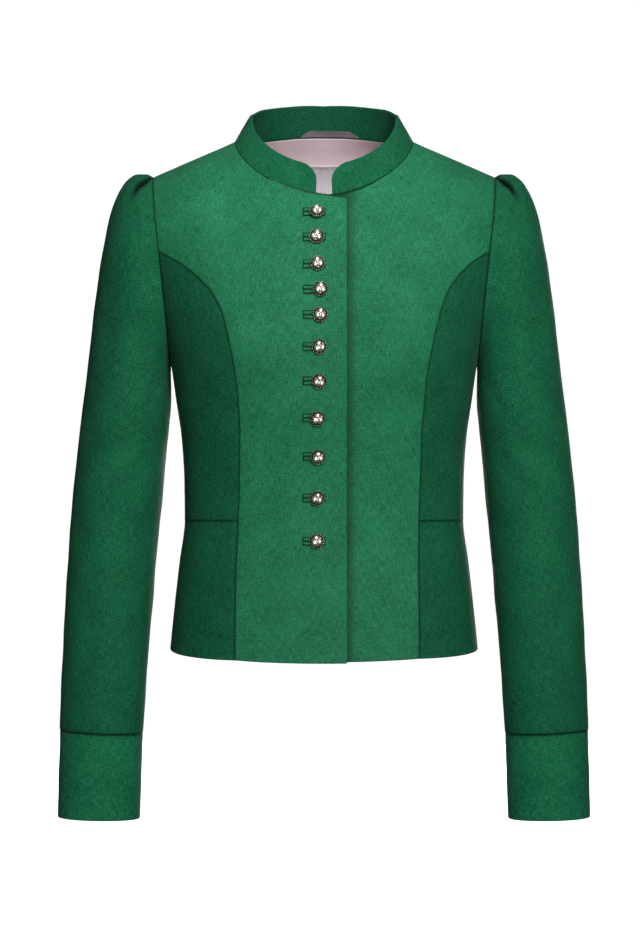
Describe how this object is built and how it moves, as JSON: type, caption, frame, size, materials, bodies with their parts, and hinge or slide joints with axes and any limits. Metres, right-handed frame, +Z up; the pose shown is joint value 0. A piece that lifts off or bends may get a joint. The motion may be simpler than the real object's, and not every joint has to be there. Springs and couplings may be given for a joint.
{
  "type": "dirndl jacket",
  "caption": "Short fitted linen jacket with princess seams, a stand collar, domed buttons down the front, long sleeves pleated into the shoulders, and straight cuffs.",
  "frame": {"origin": "midway between the two side neck points, on the line over which the wearer's shoulders carry the jacket", "axes": "+Z up, -Y towards the wearer's front, +X towards the wearer's left"},
  "size_m": [0.5288, 0.2351, 0.7192],
  "materials": {
    "linen": "matt green linen-look plain weave with slubs",
    "lining": "smooth rose satin",
    "ribbon": "grey-mauve satin",
    "label": "plain woven, blank",
    "old_silver": "polished dome with a darkened relief rim"
  },
  "bodies": {
    "root": {"front_right": "linen", "front_left": "linen", "side_front_right_upper": "linen", "side_front_right_lower": "linen", "side_front_left_upper": "linen", "side_front_left_lower": "linen", "side_back_right": "linen", "side_back_left": "linen", "back": "linen", "collar": "linen", "sleeve_right": "linen", "cuff_right": "linen", "sleeve_left": "linen", "cuff_left": "linen", "lining_back": "lining", "label": "label", "hanger_loop": "ribbon", "buttonhole_01": "linen", "button_01": "old_silver", "buttonhole_02": "linen", "button_02": "old_silver", "buttonhole_03": "linen", "button_03": "old_silver", "buttonhole_04": "linen", "button_04": "old_silver", "buttonhole_05": "linen", "button_05": "old_silver", "buttonhole_06": "linen", "button_06": "old_silver", "buttonhole_07": "linen", "button_07": "old_silver", "buttonhole_08": "linen", "button_08": "old_silver", "buttonhole_09": "linen", "button_09": "old_silver", "buttonhole_10": "linen", "button_10": "old_silver", "buttonhole_11": "linen", "button_11": "old_silver"}
  },
  "joints": []
}
